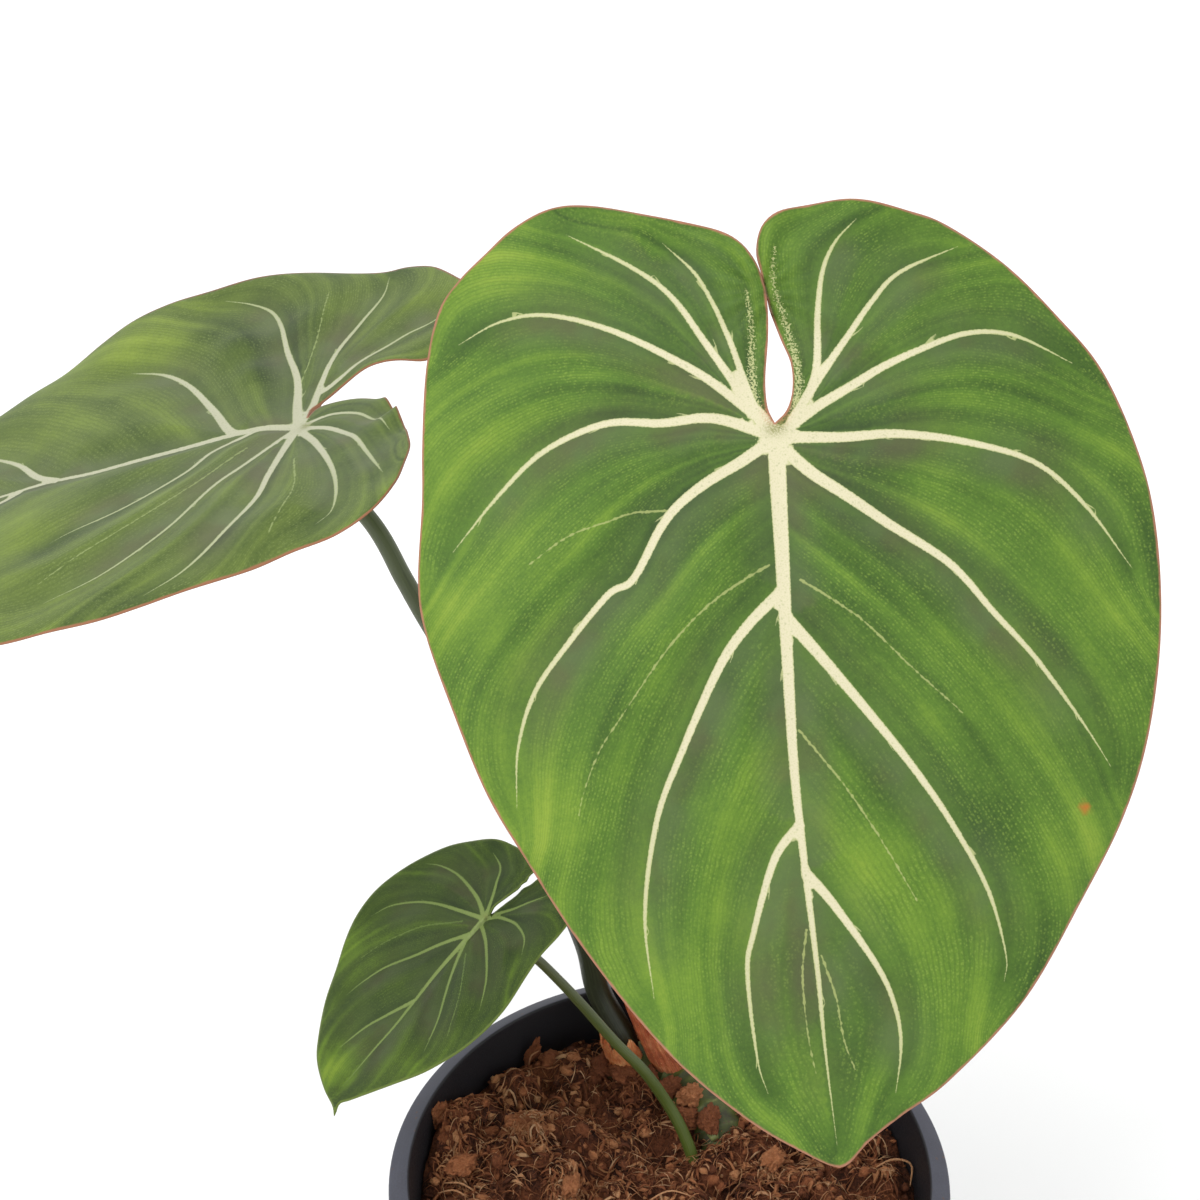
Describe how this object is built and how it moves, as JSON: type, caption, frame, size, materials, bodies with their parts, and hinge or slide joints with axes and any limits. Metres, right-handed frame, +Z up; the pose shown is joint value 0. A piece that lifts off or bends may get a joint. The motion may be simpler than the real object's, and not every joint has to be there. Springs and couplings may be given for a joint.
{
  "type": "potted philodendron gloriosum",
  "caption": "Velvet-leaved creeping aroid with heart-shaped blades on long petioles, rooted in coir soil in a plain tapered nursery pot that stands on its flat base.",
  "frame": {"origin": "middle of the pot's base, on the surface that it stands on", "axes": "+Z up; the large blade faces -Y, and the left blade reaches towards -X"},
  "size_m": [0.2759, 0.2016, 0.3192],
  "materials": {
    "pot": "injection-moulded slate grey, matte",
    "soil": "coir fibre and bark chips",
    "rhizome": "dull green stem with scars",
    "sheath": "dry papery red-brown",
    "petiole": "fine-striped olive green",
    "blade": "velvety green with cream veins"
  },
  "bodies": {
    "root": {"pot": "pot", "soil": "soil", "rhizome": "rhizome", "sheath_large": "sheath", "sheath_left": "sheath", "petiole_large": "petiole", "petiole_left": "petiole", "petiole_small": "petiole", "blade_large": "blade", "blade_left": "blade", "blade_small": "blade"}
  },
  "joints": []
}
